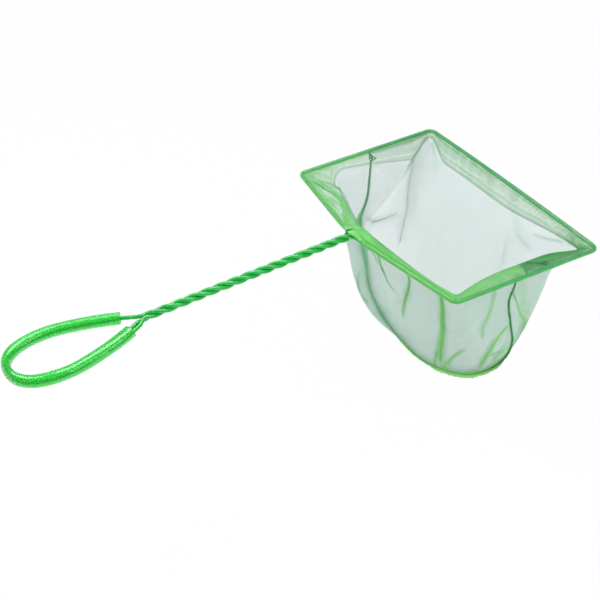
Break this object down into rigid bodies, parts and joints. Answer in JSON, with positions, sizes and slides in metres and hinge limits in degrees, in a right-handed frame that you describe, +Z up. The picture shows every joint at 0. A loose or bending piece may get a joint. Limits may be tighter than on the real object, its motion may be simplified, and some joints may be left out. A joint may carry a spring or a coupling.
{
  "type": "aquarium fish net",
  "caption": "Hand net for scooping small fish from an aquarium: a wire mouth with a sheer mesh bag, a twisted wire handle and a sleeved finger loop.",
  "frame": {"origin": "middle of the grip loop, halfway from the end of the twist to the loop's tip and halfway across it", "axes": "+X runs along the handle from the grip to the mouth, +Y across the mouth, +Z up out of the open mouth, away from the bag"},
  "size_m": [0.3141, 0.158, 0.1259],
  "materials": {
    "coated_wire": "gloss",
    "soft_sleeve": "gloss",
    "bag_mesh": "matte",
    "hem_mesh": "matte",
    "seam_edging": "matte",
    "sewing_thread": "matte"
  },
  "bodies": {
    "root": {"rim_wire": "coated_wire", "strand_left": "coated_wire", "strand_right": "coated_wire", "strand_under": "coated_wire", "loop_wire": "coated_wire", "grip_sleeve": "soft_sleeve", "hem_left": "hem_mesh", "hem_right": "hem_mesh", "hem_back": "hem_mesh", "front_panel": "bag_mesh", "back_panel": "bag_mesh", "bag_seam": "seam_edging", "hem_thread_left": "sewing_thread", "hem_thread_right": "sewing_thread", "hem_thread_back": "sewing_thread", "seam_knot_left": "sewing_thread", "seam_knot_right": "sewing_thread"}
  },
  "joints": []
}
